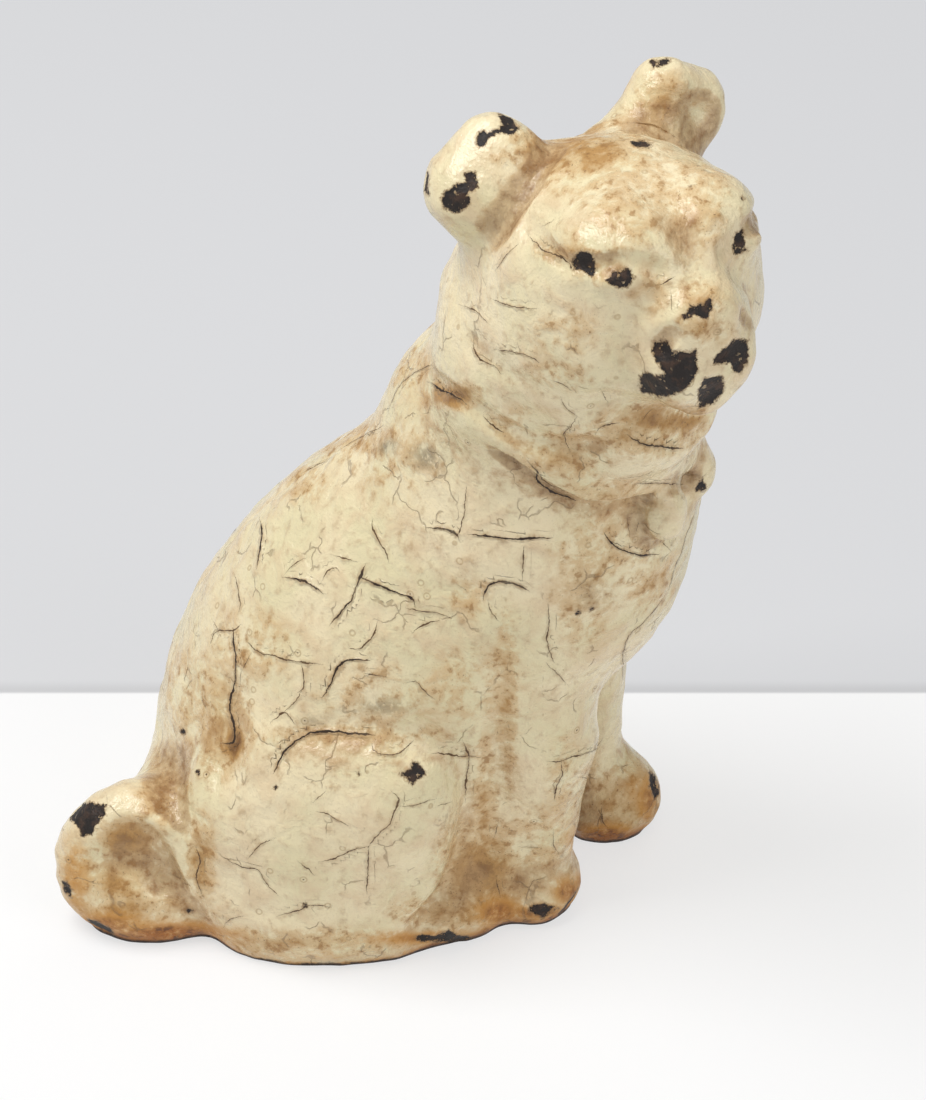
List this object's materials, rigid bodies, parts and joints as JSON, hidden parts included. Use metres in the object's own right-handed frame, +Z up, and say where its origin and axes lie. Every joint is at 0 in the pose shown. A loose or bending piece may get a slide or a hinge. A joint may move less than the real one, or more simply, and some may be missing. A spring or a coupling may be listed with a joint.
{
  "type": "doorstop",
  "caption": "Hollow cast iron doorstop in the form of a seated pup with its head turned, two half castings drawn together by a screw, enamelled cream and worn.",
  "frame": {"origin": "centre of the overall box's bottom face, on the surface that the pup sits on", "axes": "+Z up, the pup's chest faces -Y, its right flank is at -X and its curled tail is at +Y"},
  "size_m": [0.0949, 0.1394, 0.1882],
  "materials": {
    "right_enamel": "glossy cream enamel, crazed, chipped to black iron, brown grime and rust at the base",
    "left_enamel": "glossy cream enamel, crazed, chipped to black iron, brown grime and rust at the base",
    "screw_steel": "dark, oxidised, a little rusty"
  },
  "bodies": {
    "root": {"right_half_casting": "right_enamel", "left_half_casting": "left_enamel", "tie_screw": "screw_steel"}
  },
  "joints": []
}
